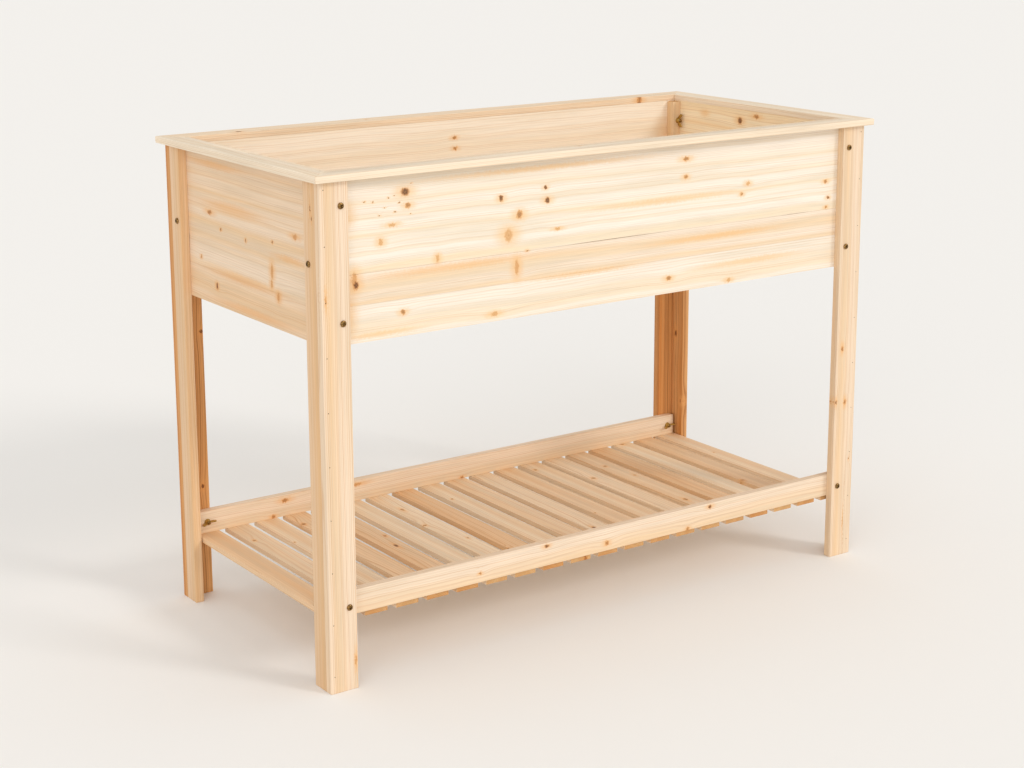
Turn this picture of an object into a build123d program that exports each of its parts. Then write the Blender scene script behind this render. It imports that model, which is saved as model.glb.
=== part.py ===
from build123d import *
import os

# Raised garden planter: a softwood box on four L-section corner legs, with a flat
# mitred rim on top and a slatted shelf low between the legs.
# Millimetres. +X along the length, +Y to the rear, +Z up.
# The origin is on the ground, under the centre of the planter.

# Overall frame, over the outer faces of the corner legs
frame_length = 1200.0
frame_depth = 564.0
leg_height = 868.0
board_thickness = 16.0        # legs, box walls and shelf rails

# Corner legs: a face board across the corner, and a side board butted behind it
leg_width = 53.0

# Mitred rim
rim_width = 45.0
rim_thickness = 12.0
rim_overhang = 13.0

# Box walls and the cleats in the box's corners
wall_height = 275.0
wall_end_gap = 0.5            # play at each end of a wall
cleat_size = 20.0
cleat_top_gap = 1.0           # cleat's top end below the underside of the rim

# Box floor: cross boards on two ledgers
ledger_height = 16.0
ledger_depth = 20.0
ledger_end_gap = 1.0
floor_thickness = 10.0
floor_board_count = 8
floor_drain_gap = 5.0
floor_side_gap = 1.0
floor_notch_gap = 1.0

# Shelf
shelf_level = 126.0           # top of the slats and underside of the rails
rail_height = 43.0
rail_end_gap = 6.0
slat_count = 19
slat_width = 45.0
slat_thickness = 10.0
slat_end_gap = 2.5            # between the outer slats and the legs' side boards
slat_setback = 5.0            # slat ends behind the rails' outer faces

# Bolts, washers and wing nuts
bolt_radius = 3.0
bolt_hole_clearance = 0.4
bolt_head_radius = 5.5
bolt_head_height = 3.4
bolt_head_round = 1.6
bolt_setback = 7.0            # bolt axis to the inner face of the wall beside it
bolt_drop = 41.0              # upper wall bolts below the underside of the rim
bolt_tip = 2.8                # thread past the nut's hub
recess_width = 1.3
recess_span = 6.4
recess_depth = 1.9
washer_radius = 6.2
washer_thickness = 1.2
nut_hub_radius = 5.5
nut_crown_radius = 4.4
nut_hub_height = 7.0
nut_thread_clearance = 0.1
wing_reach = 14.0
wing_height = 13.0
wing_thickness = 2.0
wing_lift = 1.0               # wing's lower edge above the nut's face
wing_neck = 9.0               # where the wing starts to flare, out from the axis
wing_corner = 2.0
wing_root_drop = 1.0          # where the wing meets the hub, below its crown
wing_floor_gap = 1.0          # below a lower wall nut's wing

# Nails and screws
brad_radius = 0.9
brad_bite = 16.0              # brad length past the face board
brad_count = 10
brad_end_margin = 30.0
brad_top_margin = 13.0
rim_nail_radius = 1.2
rim_nail_bite = 28.0
rim_nail_mitre_gap = 14.0     # along the rim, from a mitre to the nail beside it
long_rim_nail_count = 5
end_rim_nail_count = 3
slat_nail_radius = 1.0
slat_nail_bite = 12.0
screw_radius = 1.7
screw_head_radius = 3.6
screw_head_height = 2.2
floor_screw_bite = 11.0
ledger_screw_bite = 10.0
nail_clearance = 0.05

# Worked out from the sizes above
half_length = frame_length / 2
half_depth = frame_depth / 2
wall_inset = board_thickness                  # outer face of a wall, in from the legs' outer faces
inner_inset = wall_inset + board_thickness    # inner face of a wall
cleat_inset = inner_inset + cleat_size
box_bottom = leg_height - wall_height
floor_bottom = box_bottom + ledger_height
floor_top = floor_bottom + floor_thickness
bolt_inset = inner_inset + bolt_setback
upper_bolt_level = leg_height - bolt_drop
lower_bolt_level = floor_top + wing_floor_gap + wing_reach
end_bolt_level = box_bottom + wall_height / 2
rail_bolt_level = shelf_level + rail_height / 2
slat_bottom = shelf_level - slat_thickness
nut_stack = washer_thickness + nut_hub_height + bolt_tip
wall_middle = wall_inset + board_thickness / 2
rim_nail_margin = wall_middle + rim_nail_mitre_gap
wall_bolt_grip = inner_inset + cleat_size
rail_bolt_grip = inner_inset

SIDES = {"left": -1, "right": 1}
FACES = {"front": -1, "rear": 1}
CORNERS = [(side, face) for side in SIDES.values() for face in FACES.values()]
ON_BASE = (Align.CENTER, Align.CENTER, Align.MIN)


def x_in(side, inset):
    """X of a plane set in from the legs' outer faces at the left or right end."""
    return side * (half_length - inset)


def y_in(face, inset):
    """Y of a plane set in from the legs' outer faces at the front or rear."""
    return face * (half_depth - inset)


def board(x_ends, y_ends, z_ends):
    """A squared board between two planes each way."""
    low = [min(ends) for ends in (x_ends, y_ends, z_ends)]
    size = [abs(ends[1] - ends[0]) for ends in (x_ends, y_ends, z_ends)]
    return Pos(*low) * Box(*size, align=(Align.MIN, Align.MIN, Align.MIN))


def evenly(first, last, count):
    """Positions spread evenly from the first to the last."""
    step = (last - first) / (count - 1)
    return [first + step * index for index in range(count)]


# Fasteners. Each is drawn on its own axis, +Z into the wood, with z = 0 at the surface it enters.

def rod(radius, length):
    """A round bar from z = 0 up."""
    return Cylinder(radius, length, align=ON_BASE)


def bolt(grip):
    """A pan-head bolt with a cross recess, long enough for its washer and nut."""
    head = Pos(0, 0, -bolt_head_height) * rod(bolt_head_radius, bolt_head_height)
    head = fillet(head.edges().sort_by(Axis.Z)[0], bolt_head_round)
    recess_centre = Pos(0, 0, -bolt_head_height + recess_depth / 2)
    recess = Box(recess_span, recess_width, recess_depth) + Box(recess_width, recess_span, recess_depth)
    return head - recess_centre * recess + rod(bolt_radius, grip + nut_stack)


def washer():
    """A flat washer."""
    return rod(washer_radius, washer_thickness) - rod(bolt_radius + bolt_hole_clearance, washer_thickness)


def wing_nut():
    """A wing nut: a tapered hub and two plate wings along its X axis."""
    hub = Cone(nut_hub_radius, nut_crown_radius, nut_hub_height, align=ON_BASE)
    wing_root = nut_hub_height - wing_root_drop
    outline = Polyline(
        (0, wing_lift),
        (wing_neck, wing_lift),
        (wing_reach, nut_hub_height),
        (wing_reach, wing_height - wing_corner),
        (wing_reach - wing_corner, wing_height),
        (wing_neck, wing_height - wing_corner),
        (nut_crown_radius, wing_root),
        (0, wing_root),
        close=True,
    )
    wing = extrude(Plane.XZ * make_face(outline), wing_thickness / 2, both=True)
    body = hub + wing + mirror(wing, about=Plane.YZ)
    return body - rod(bolt_radius + nut_thread_clearance, nut_hub_height)


def screw(length, clearance=0.0):
    """A countersunk screw, or with a clearance the hole that it fills."""
    shank_radius = screw_radius + clearance
    head = Cone(screw_head_radius + clearance, shank_radius, screw_head_height, align=ON_BASE)
    return head + rod(shank_radius, length + clearance)


def bolt_seats(levels):
    """Planes on the front and rear leg faces, one for each bolt, facing into the wood."""
    seats = []
    for level in levels:
        for side, face in CORNERS:
            origin = (x_in(side, bolt_inset), y_in(face, 0), level)
            seats.append(Plane(origin=origin, x_dir=(0, 0, 1), z_dir=(0, -face, 0)))
    return seats


def end_bolt_seats():
    """Planes on the left and right leg faces, at the middle of the box's height."""
    seats = []
    for side, face in CORNERS:
        origin = (x_in(side, 0), y_in(face, bolt_inset), end_bolt_level)
        seats.append(Plane(origin=origin, x_dir=(0, 0, 1), z_dir=(-side, 0, 0)))
    return seats


def brad_seats():
    """Planes on the leg faces, over the middle of the side boards' edges."""
    levels = evenly(brad_end_margin, leg_height - brad_top_margin, brad_count)
    seats = []
    for side, face in CORNERS:
        for level in levels:
            origin = (x_in(side, board_thickness / 2), y_in(face, 0), level)
            seats.append(Plane(origin=origin, x_dir=(0, 0, 1), z_dir=(0, -face, 0)))
    return seats


def rim_nail_seats():
    """Planes on top of the rim, over the middle of the walls' thickness."""
    long_run = evenly(x_in(-1, rim_nail_margin), x_in(1, rim_nail_margin), long_rim_nail_count)
    end_run = evenly(y_in(-1, rim_nail_margin), y_in(1, rim_nail_margin), end_rim_nail_count)
    points = [(x, y_in(face, wall_middle)) for face in FACES.values() for x in long_run]
    points += [(x_in(side, wall_middle), y) for side in SIDES.values() for y in end_run]
    top = leg_height + rim_thickness
    return [Plane(origin=(x, y, top), z_dir=(0, 0, -1)) for x, y in points]


def slat_starts():
    """X of each slat's left edge."""
    first = x_in(-1, board_thickness + slat_end_gap)
    last = x_in(1, board_thickness + slat_end_gap) - slat_width
    return evenly(first, last, slat_count)


def slat_nail_seats():
    """Planes under the slats, at the middle of their bearing on each rail."""
    bearing_middle = (wall_inset + slat_setback + inner_inset) / 2
    seats = []
    for start in slat_starts():
        for face in FACES.values():
            origin = (start + slat_width / 2, y_in(face, bearing_middle), slat_bottom)
            seats.append(Plane(origin=origin, z_dir=(0, 0, 1)))
    return seats


def floor_board_ends():
    """X of each floor board's two edges, with a drain gap at each side of every board."""
    clear = frame_length - 2 * inner_inset
    width = (clear - floor_drain_gap * (floor_board_count + 1)) / floor_board_count
    pitch = width + floor_drain_gap
    first = x_in(-1, inner_inset) + floor_drain_gap
    return [(first + pitch * index, first + pitch * index + width) for index in range(floor_board_count)]


def floor_screw_seats():
    """Planes on the floor boards, at their middle over each ledger."""
    seats = []
    for low, high in floor_board_ends():
        for face in FACES.values():
            origin = ((low + high) / 2, y_in(face, inner_inset + ledger_depth / 2), floor_top)
            seats.append(Plane(origin=origin, z_dir=(0, 0, -1)))
    return seats


def ledger_screw_seats():
    """Planes on the ledgers' inner faces, between the floor screws."""
    seats = []
    level = box_bottom + ledger_height / 2
    for low, _ in floor_board_ends()[1:]:
        for face in FACES.values():
            origin = (low - floor_drain_gap / 2, y_in(face, inner_inset + ledger_depth), level)
            seats.append(Plane(origin=origin, z_dir=(0, face, 0)))
    return seats


wall_bolt_seats = bolt_seats((upper_bolt_level, lower_bolt_level)) + end_bolt_seats()
rail_bolt_seats = bolt_seats((rail_bolt_level,))
brad_length = board_thickness + brad_bite
rim_nail_length = rim_thickness + rim_nail_bite
slat_nail_length = slat_thickness + slat_nail_bite
floor_screw_length = floor_thickness + floor_screw_bite
ledger_screw_length = ledger_depth + ledger_screw_bite


def seated(solid, seats):
    """One copy of a solid on each seat."""
    return [seat * solid for seat in seats]


def hole_cutters():
    """Every hole in the wood, as the solid that cuts it."""
    hole_radius = bolt_radius + bolt_hole_clearance
    cutters = seated(rod(hole_radius, wall_bolt_grip), wall_bolt_seats)
    cutters += seated(rod(hole_radius, rail_bolt_grip), rail_bolt_seats)
    nails = (
        (brad_radius, brad_length, brad_seats()),
        (rim_nail_radius, rim_nail_length, rim_nail_seats()),
        (slat_nail_radius, slat_nail_length, slat_nail_seats()),
    )
    for radius, length, seats in nails:
        cutters += seated(rod(radius + nail_clearance, length + nail_clearance), seats)
    cutters += seated(screw(floor_screw_length, nail_clearance), floor_screw_seats())
    cutters += seated(screw(ledger_screw_length, nail_clearance), ledger_screw_seats())
    return [(cutter, cutter.bounding_box()) for cutter in cutters]


def boxes_meet(one, other):
    """Whether two bounding boxes share any space."""
    apart_low = (one.max.X <= other.min.X, one.max.Y <= other.min.Y, one.max.Z <= other.min.Z)
    apart_high = (other.max.X <= one.min.X, other.max.Y <= one.min.Y, other.max.Z <= one.min.Z)
    return not any(apart_low + apart_high)


def drilled(piece, cutters):
    """The piece with every hole that reaches into it."""
    own_box = piece.bounding_box()
    for cutter, cutter_box in cutters:
        if boxes_meet(own_box, cutter_box):
            piece = piece - cutter
    return piece


# Wooden pieces

def leg_boards():
    """The face board and the side board of each corner leg."""
    boards = {}
    for face_name, face in FACES.items():
        for side_name, side in SIDES.items():
            height = (0, leg_height)
            outer_x = x_in(side, 0)
            behind_face = y_in(face, board_thickness)
            boards[f"leg_{face_name}_{side_name}_face_board"] = board(
                (outer_x, x_in(side, leg_width)), (y_in(face, 0), behind_face), height
            )
            boards[f"leg_{face_name}_{side_name}_side_board"] = board(
                (outer_x, x_in(side, board_thickness)), (behind_face, y_in(face, leg_width)), height
            )
    return boards


def rim_boards():
    """Four flat boards, mitred at the corners, that overhang the legs."""
    inner_edge = rim_width - rim_overhang
    outer = {(side, face): (x_in(side, -rim_overhang), y_in(face, -rim_overhang)) for side, face in CORNERS}
    inner = {(side, face): (x_in(side, inner_edge), y_in(face, inner_edge)) for side, face in CORNERS}
    mitres = {f"rim_{name}": ((-1, face), (1, face)) for name, face in FACES.items()}
    mitres.update({f"rim_{name}": ((side, -1), (side, 1)) for name, side in SIDES.items()})
    boards = {}
    for name, (first, last) in mitres.items():
        outline = Polyline(outer[first], outer[last], inner[last], inner[first], close=True)
        boards[name] = Pos(0, 0, leg_height) * extrude(make_face(outline), rim_thickness, dir=(0, 0, 1))
    return boards


def wall_panels():
    """Front and rear walls between the side boards, and end walls between those two."""
    height = (box_bottom, leg_height)
    panels = {}
    for name, face in FACES.items():
        ends = (x_in(-1, board_thickness + wall_end_gap), x_in(1, board_thickness + wall_end_gap))
        panels[f"wall_{name}"] = board(ends, (y_in(face, wall_inset), y_in(face, inner_inset)), height)
    for name, side in SIDES.items():
        ends = (y_in(-1, inner_inset + wall_end_gap), y_in(1, inner_inset + wall_end_gap))
        panels[f"wall_{name}"] = board((x_in(side, wall_inset), x_in(side, inner_inset)), ends, height)
    return panels


def corner_cleats():
    """Square cleats in the box's four inner corners, which the wall bolts pass through."""
    height = (box_bottom, leg_height - cleat_top_gap)
    cleats = {}
    for face_name, face in FACES.items():
        for side_name, side in SIDES.items():
            cleats[f"corner_cleat_{face_name}_{side_name}"] = board(
                (x_in(side, inner_inset), x_in(side, cleat_inset)),
                (y_in(face, inner_inset), y_in(face, cleat_inset)),
                height,
            )
    return cleats


def floor_ledgers():
    """Ledgers along the long walls' inner faces, between the cleats."""
    ends = (x_in(-1, cleat_inset + ledger_end_gap), x_in(1, cleat_inset + ledger_end_gap))
    height = (box_bottom, floor_bottom)
    ledgers = {}
    for name, face in FACES.items():
        depth = (y_in(face, inner_inset), y_in(face, inner_inset + ledger_depth))
        ledgers[f"floor_ledger_{name}"] = board(ends, depth, height)
    return ledgers


def floor_boards():
    """Cross boards on the ledgers. The end boards are notched round the cleats."""
    sides = (y_in(-1, inner_inset + floor_side_gap), y_in(1, inner_inset + floor_side_gap))
    height = (floor_bottom, floor_top)
    notch_inset = cleat_inset + floor_notch_gap
    notches = [
        board((x_in(side, 0), x_in(side, notch_inset)), (y_in(face, 0), y_in(face, notch_inset)), height)
        for side, face in CORNERS
    ]
    boards = {}
    for number, ends in enumerate(floor_board_ends(), start=1):
        boards[f"floor_board_{number}"] = board(ends, sides, height) - notches
    return boards


def shelf_rails():
    """Long rails behind the legs' face boards, which the shelf slats hang from."""
    ends = (x_in(-1, board_thickness + rail_end_gap), x_in(1, board_thickness + rail_end_gap))
    height = (shelf_level, shelf_level + rail_height)
    return {
        f"shelf_rail_{name}": board(ends, (y_in(face, wall_inset), y_in(face, inner_inset)), height)
        for name, face in FACES.items()
    }


def shelf_slats():
    """Slats from front to rear, nailed up into the rails."""
    ends = (y_in(-1, wall_inset + slat_setback), y_in(1, wall_inset + slat_setback))
    height = (slat_bottom, shelf_level)
    return {
        f"shelf_slat_{number:02d}": board((start, start + slat_width), ends, height)
        for number, start in enumerate(slat_starts(), start=1)
    }


def seat_past(seats, distance):
    """The same seats moved along their own axes."""
    return [Plane(seat.location * Pos(0, 0, distance)) for seat in seats]


def fasteners():
    """Every kind of fastener, as a group of separate solids."""
    nut_seats = seat_past(wall_bolt_seats, wall_bolt_grip) + seat_past(rail_bolt_seats, rail_bolt_grip)
    return {
        "wall_bolts": seated(bolt(wall_bolt_grip), wall_bolt_seats),
        "rail_bolts": seated(bolt(rail_bolt_grip), rail_bolt_seats),
        "washers": seated(washer(), nut_seats),
        "wing_nuts": seated(wing_nut(), seat_past(nut_seats, washer_thickness)),
        "leg_brads": seated(rod(brad_radius, brad_length), brad_seats()),
        "rim_nails": seated(rod(rim_nail_radius, rim_nail_length), rim_nail_seats()),
        "slat_nails": seated(rod(slat_nail_radius, slat_nail_length), slat_nail_seats()),
        "floor_screws": seated(screw(floor_screw_length), floor_screw_seats()),
        "ledger_screws": seated(screw(ledger_screw_length), ledger_screw_seats()),
    }


wooden = {
    **leg_boards(),
    **rim_boards(),
    **wall_panels(),
    **corner_cleats(),
    **floor_ledgers(),
    **floor_boards(),
    **shelf_rails(),
    **shelf_slats(),
}
cutters = hole_cutters()
nodes = {name: drilled(piece, cutters).solids() for name, piece in wooden.items()}
for name, group in fasteners().items():
    nodes[name] = [solid for copy in group for solid in copy.solids()]

os.makedirs("parts", exist_ok=True)
for name, solids in nodes.items():
    export_step(Compound(children=list(solids)), f"parts/{name}.step")
    print(name, len(solids))
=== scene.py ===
# Looks of a raised garden planter: planed spruce boards, zinc-plated bolts and wing nuts, in a pale studio.
# Metres. +X along the length, +Y to the rear, +Z up, with the origin on the ground under the planter's centre.

import logging
import math
import random
from dataclasses import dataclass
from enum import Enum

import bmesh
import bpy
from mathutils import Matrix, Vector


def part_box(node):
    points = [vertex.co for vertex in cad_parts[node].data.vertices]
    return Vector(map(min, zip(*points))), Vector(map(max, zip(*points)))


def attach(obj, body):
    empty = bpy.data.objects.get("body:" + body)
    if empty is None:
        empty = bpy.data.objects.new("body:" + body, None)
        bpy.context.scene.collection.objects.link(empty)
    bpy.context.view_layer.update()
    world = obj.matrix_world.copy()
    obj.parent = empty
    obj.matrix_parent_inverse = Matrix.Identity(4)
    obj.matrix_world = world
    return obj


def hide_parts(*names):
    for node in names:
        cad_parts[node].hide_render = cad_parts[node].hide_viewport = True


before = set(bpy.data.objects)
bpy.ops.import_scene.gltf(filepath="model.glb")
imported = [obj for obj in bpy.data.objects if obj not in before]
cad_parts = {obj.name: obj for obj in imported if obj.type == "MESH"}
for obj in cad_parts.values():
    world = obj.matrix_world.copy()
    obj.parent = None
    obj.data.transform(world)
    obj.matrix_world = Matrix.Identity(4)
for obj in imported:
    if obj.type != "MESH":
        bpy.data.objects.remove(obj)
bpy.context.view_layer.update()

MM = 0.001
WELD = 0.01 * MM              # points of a shape nearer than this are one
FLAT = math.radians(1.0)      # faces that differ by less lie in one plane
ROOT = "root"
UP = Vector((0, 0, 1))

MIX_FACTOR, MIX_FIRST, MIX_SECOND, MIX_COLOUR = 0, 6, 7, 2   # sockets of a Mix node set to colours

Socket = bpy.types.NodeSocket
Material = bpy.types.Material
Shape = bmesh.types.BMesh
Colour = tuple[float, float, float, float]
Outline = list[tuple[float, float]]           # radius and height of each point, in millimetres

log = logging.getLogger("planter")


class Axis(Enum):
    """A direction in the planter's frame."""

    X = 0
    Y = 1
    Z = 2


class KnotKind(Enum):
    """How a knot, or another mark in the spruce, looks."""

    DEAD = "dead"
    LIVE = "live"
    PALE = "pale"
    RESIN = "resin"


class HeadEnd(Enum):
    """Which end of a fastener its head is on."""

    OUTSIDE = "outside"
    INSIDE = "inside"
    TOP = "top"
    UNDERSIDE = "underside"


def linear(colour: str) -> Colour:
    """Turn an sRGB hex colour into linear light.

    Args:
        colour: Six hex digits after a hash.

    Returns:
        Red, green, blue and an alpha of one.
    """
    channels = [int(colour[start:start + 2], 16) / 255 for start in (1, 3, 5)]
    red, green, blue = [c / 12.92 if c <= 0.04045 else ((c + 0.055) / 1.055) ** 2.4 for c in channels]
    return red, green, blue, 1.0


def grey(level: float) -> Colour:
    """A ramp colour that stands for a plain number."""
    return level, level, level, 1.0


def add_node(
    tree: bpy.types.NodeTree, kind: str, inputs: dict, ramp: dict[float, Colour] | None = None, **settings: str
) -> bpy.types.Node:
    """Add one shader node with its settings, values and links.

    Args:
        tree: The node tree that gets the node.
        kind: The node's type name, after "ShaderNode".
        inputs: Values, or sockets to link from, by input name or number.
        ramp: A colour ramp's colours by position.
        settings: Attributes to set.

    Returns:
        The new node.
    """
    node = tree.nodes.new(f"ShaderNode{kind}")
    for name, value in settings.items():
        setattr(node, name, value)
    for number, (position, colour) in enumerate((ramp or {}).items()):
        elements = node.color_ramp.elements
        element = elements[number] if number < len(elements) else elements.new(position)
        element.position = position
        element.color = colour
    for key, value in inputs.items():
        if isinstance(value, Socket):
            tree.links.new(value, node.inputs[key])
        else:
            node.inputs[key].default_value = value
    return node


def bare_material(name: str) -> Material:
    """Start a material that has no nodes yet.

    Args:
        name: Its name.

    Returns:
        The material.
    """
    material = bpy.data.materials.new(name)
    material.use_nodes = True
    material.node_tree.nodes.clear()
    return material


@dataclass(frozen=True)
class Knot:
    """A knot through a board, placed in the planter's own millimetres.

    Its place is along the board's grain and across the board's width.
    """

    along: float
    across: float
    half_length: float
    half_width: float
    kind: KnotKind = KnotKind.LIVE


def knots_of(kind: KnotKind, *places: tuple[float, float, float, float]) -> tuple[Knot, ...]:
    """Knots of one kind, from the place along and across, half length and half width of each."""
    return tuple(Knot(*place, kind) for place in places)


# Colours of each kind of knot, from its middle to its outline. A later kind is drawn over an earlier one.
KNOT_HEARTS = {
    # Tan smudge, where a twig's end just shows
    KnotKind.PALE: {0.0: "#C8945C", 0.3: "#DCAE7A", 0.5: "#D3A06A", 1.0: "#EBC596"},
    # Tawny heartwood that runs into the board round it
    KnotKind.LIVE: {
        0.0: "#9C6A3C", 0.25: "#BE8E5C", 0.4: "#AA7646", 0.6: "#CD9860", 0.8: "#D29A5E", 1.0: "#E6B680",
    },
    # Dark brown heart, split by darker rings, that fades through rust into the board
    KnotKind.DEAD: {
        0.0: "#7A5232", 0.2: "#94683F", 0.34: "#5E3D24", 0.5: "#8A5C36", 0.66: "#A87445", 0.95: "#D79E62",
    },
}

# Latewood through one year: hardly any in spring, then a line that darkens slowly and ends sharply
YEAR_RAMP = {0.0: grey(0.1), 0.4: grey(0.0), 0.72: grey(0.45), 0.9: grey(1.0), 1.0: grey(0.1)}


@dataclass(frozen=True)
class PlanedSpruce:
    """Spruce, planed and left bare.

    Cream earlywood with thin tan latewood lines where the saw cuts the growth rings, broad honey bands where
    the rings lie flat in the face, fine silky fibre along the board, and knots in an amber flame.
    """

    name: str
    earlywood: str = "#F4E9DA"
    latewood: str = "#D5AC7A"
    honey: str = "#EDCFA0"
    sunken: str = "#E5D8C2"
    amber: str = "#EDBE80"
    ring_spacing: float = 3.4     # millimetres between one year's latewood and the next
    ring_depth: float = 0.7       # share of the latewood colour that a year's line reaches
    band_depth: float = 0.62      # share of honey in the broad bands
    streak_depth: float = 0.62    # share of the sunken colour in the dull streaks
    flame_depth: float = 0.66     # share of amber round a knot
    resin_depth: float = 0.6      # share of amber in a resin patch
    fibre_width: float = 1.1      # drawn three times as coarse as spruce fibre, so that it shows
    fibre_length: float = 90.0
    knot_share: float = 0.3       # of the chance places along the board, how many hold a knot
    roughness: float = 0.58

    def build(self, knots: tuple[Knot, ...] = (), shift: Vector = Vector()) -> Material:
        """Make the material for one board, or for a set of boards that have only chance knots.

        Args:
            knots: The knots listed one by one.
            shift: What the board's grain coordinates add to its place in the planter.

        Returns:
            The material.
        """
        material = bare_material(self.name)
        grain = add_node(material.node_tree, "Attribute", {}, attribute_name="grain").outputs["Vector"]
        wood = SpruceNodes(self, material.node_tree, grain)
        fields, flame = wood.knot_fields(knots, shift)
        late, from_pith = wood.rings(flame)
        fibre = wood.fibre()
        colour = wood.clear_wood(late, from_pith, fibre)
        colour = wood.amber(colour, flame, self.flame_depth)
        if KnotKind.RESIN in fields:
            colour = wood.amber(colour, fields[KnotKind.RESIN], self.resin_depth)
        for kind in KNOT_HEARTS:
            if kind in fields:
                colour = wood.heart(colour, kind, fields[kind])
        wood.surface(wood.board_tone(colour), late, fibre)
        return material


@dataclass(frozen=True)
class SpruceNodes:
    """The nodes that draw one board's spruce.

    Cells of noise are counted per metre along, across and through the board. A knot's field is the distance
    from its middle in its own half sizes, so it is one at the knot's outline.
    """

    finish: PlanedSpruce
    tree: bpy.types.NodeTree
    grain: Socket                       # each point's place in the trunk, with X along the grain
    outline_cells: float = 230.0
    outline_stray: float = 4.0          # millimetres that a knot's outline strays each way
    placed_flame: tuple[float, float] = (3.8, 2.0)       # how much longer and wider a flame is than its knot
    chance_flame: tuple[float, float] = (3.4, 2.0)
    chance_apart: tuple[float, float] = (0.23, 0.075)    # metres between chance places, along and across
    chance_radius: tuple[float, float] = (2.2, 5.5)      # millimetres, smallest and largest
    out_of_reach: float = 50.0          # a field past every outline, for the chance places that hold no knot
    wander_cells: tuple[float, float, float] = (1.7, 5.0, 5.0)
    wander: float = 0.022               # metres that the pith wanders
    flame_reach: float = 2.8            # the flame field where rings run straight again
    swerve: float = 2.6                 # millimetres that a ring swerves at a knot
    ripple_cells: tuple[float, float, float] = (9.0, 70.0, 70.0)
    ripple: float = 2.4                 # millimetres
    year_cells: float = 70.0            # of good and bad years, out from the pith
    year_play: float = 3.0              # years' growth that a ring comes early or late
    strength_cells: float = 130.0       # of strong and faint years
    band_cells: float = 38.0
    streak_cells: tuple[float, float, float] = (2.4, 52.0, 52.0)
    proud: float = 0.12                 # millimetres that latewood and fibre stand out

    def knot_fields(self, knots: tuple[Knot, ...], shift: Vector) -> tuple[dict[KnotKind, Socket], Socket]:
        """Find how far each point is from the nearest knot.

        Args:
            knots: The knots listed one by one.
            shift: What the grain coordinates add to a place in the planter.

        Returns:
            The field for each kind of knot, and the field of the knots' longer flames.
        """
        stray = self.outline_stray * MM
        ragged = add_node(
            self.tree, "TexNoise", {"Vector": self.grain, "Scale": self.outline_cells, "Detail": 3.0}
        ).outputs["Color"]
        nudge = add_node(
            self.tree, "VectorMath", {0: ragged, 1: (2 * stray, 2 * stray, 0.0), 2: (-stray, -stray, 0.0)},
            operation="MULTIPLY_ADD",
        ).outputs[0]
        place = add_node(self.tree, "VectorMath", {0: self.grain, 1: nudge}, operation="ADD").outputs[0]
        fields = {}
        flame = None
        for knot in knots:
            found = self.placed_knot(place, knot, shift, (1.0, 1.0))
            fields[knot.kind] = self.nearer(fields.get(knot.kind), found)
            if knot.kind is not KnotKind.RESIN:
                flame = self.nearer(flame, self.placed_knot(place, knot, shift, self.placed_flame))
        chance, chance_flame = self.chance_knots(place)
        fields[KnotKind.LIVE] = self.nearer(fields.get(KnotKind.LIVE), chance)
        return fields, self.nearer(flame, chance_flame)

    def placed_knot(self, place: Socket, knot: Knot, shift: Vector, stretch: tuple[float, float]) -> Socket:
        """Find how far each point is from one knot.

        Args:
            place: The grain coordinates, strayed so that outlines are ragged.
            knot: The knot.
            shift: What the grain coordinates add to a place in the planter.
            stretch: How much longer and wider than the knot the outline is.

        Returns:
            The field.
        """
        half_sizes = (knot.half_length * stretch[0] * MM, knot.half_width * stretch[1] * MM)
        scale = Vector((1 / half_sizes[0], 1 / half_sizes[1], 0.0))
        centre = Vector((knot.along * MM + shift.x, knot.across * MM + shift.y, 0.0))
        away = add_node(
            self.tree, "VectorMath", {0: place, 1: scale, 2: -centre * scale}, operation="MULTIPLY_ADD"
        )
        return add_node(self.tree, "VectorMath", {0: away.outputs[0]}, operation="LENGTH").outputs["Value"]

    def nearer(self, known: Socket | None, found: Socket) -> Socket:
        """Keep the smaller of two fields.

        Args:
            known: The field so far, if there is one.
            found: Another field.

        Returns:
            The smaller of them at each point, or the only one.
        """
        if known is None:
            return found
        return add_node(self.tree, "Math", {0: known, 1: found}, operation="MINIMUM").outputs[0]

    def chance_knots(self, place: Socket) -> list[Socket]:
        """Scatter small knots along the trunk that the boards were sawn from.

        Args:
            place: The grain coordinates, strayed so that outlines are ragged.

        Returns:
            The field of the nearest knot, and the field of its flame.
        """
        tree = self.tree
        along, across = self.chance_apart
        cells = add_node(
            tree, "VectorMath", {0: place, 1: (1 / along, 1 / across, 0.0)}, operation="MULTIPLY"
        ).outputs[0]
        nearest = add_node(tree, "TexVoronoi", {"Vector": cells, "Scale": 1.0}, voronoi_dimensions="2D").outputs
        away = add_node(tree, "VectorMath", {0: cells, 1: nearest["Position"]}, operation="SUBTRACT").outputs[0]
        draw = add_node(tree, "SeparateColor", {0: nearest["Color"]}).outputs
        small, large = self.chance_radius
        radius = add_node(tree, "MapRange", {0: draw[0], 3: small * MM, 4: large * MM}).outputs[0]
        absent = add_node(
            tree, "Math", {0: draw[1], 1: self.finish.knot_share}, operation="GREATER_THAN"
        ).outputs[0]
        fields = []
        for longer, wider in ((1.0, 1.0), self.chance_flame):
            metres = add_node(
                tree, "VectorMath", {0: away, 1: (along / longer, across / wider, 0.0)}, operation="MULTIPLY"
            )
            length = add_node(tree, "VectorMath", {0: metres.outputs[0]}, operation="LENGTH").outputs["Value"]
            share = add_node(tree, "Math", {0: length, 1: radius}, operation="DIVIDE").outputs[0]
            kept = add_node(tree, "Math", {0: absent, 1: self.out_of_reach, 2: share}, operation="MULTIPLY_ADD")
            fields.append(kept.outputs[0])
        return fields

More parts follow.
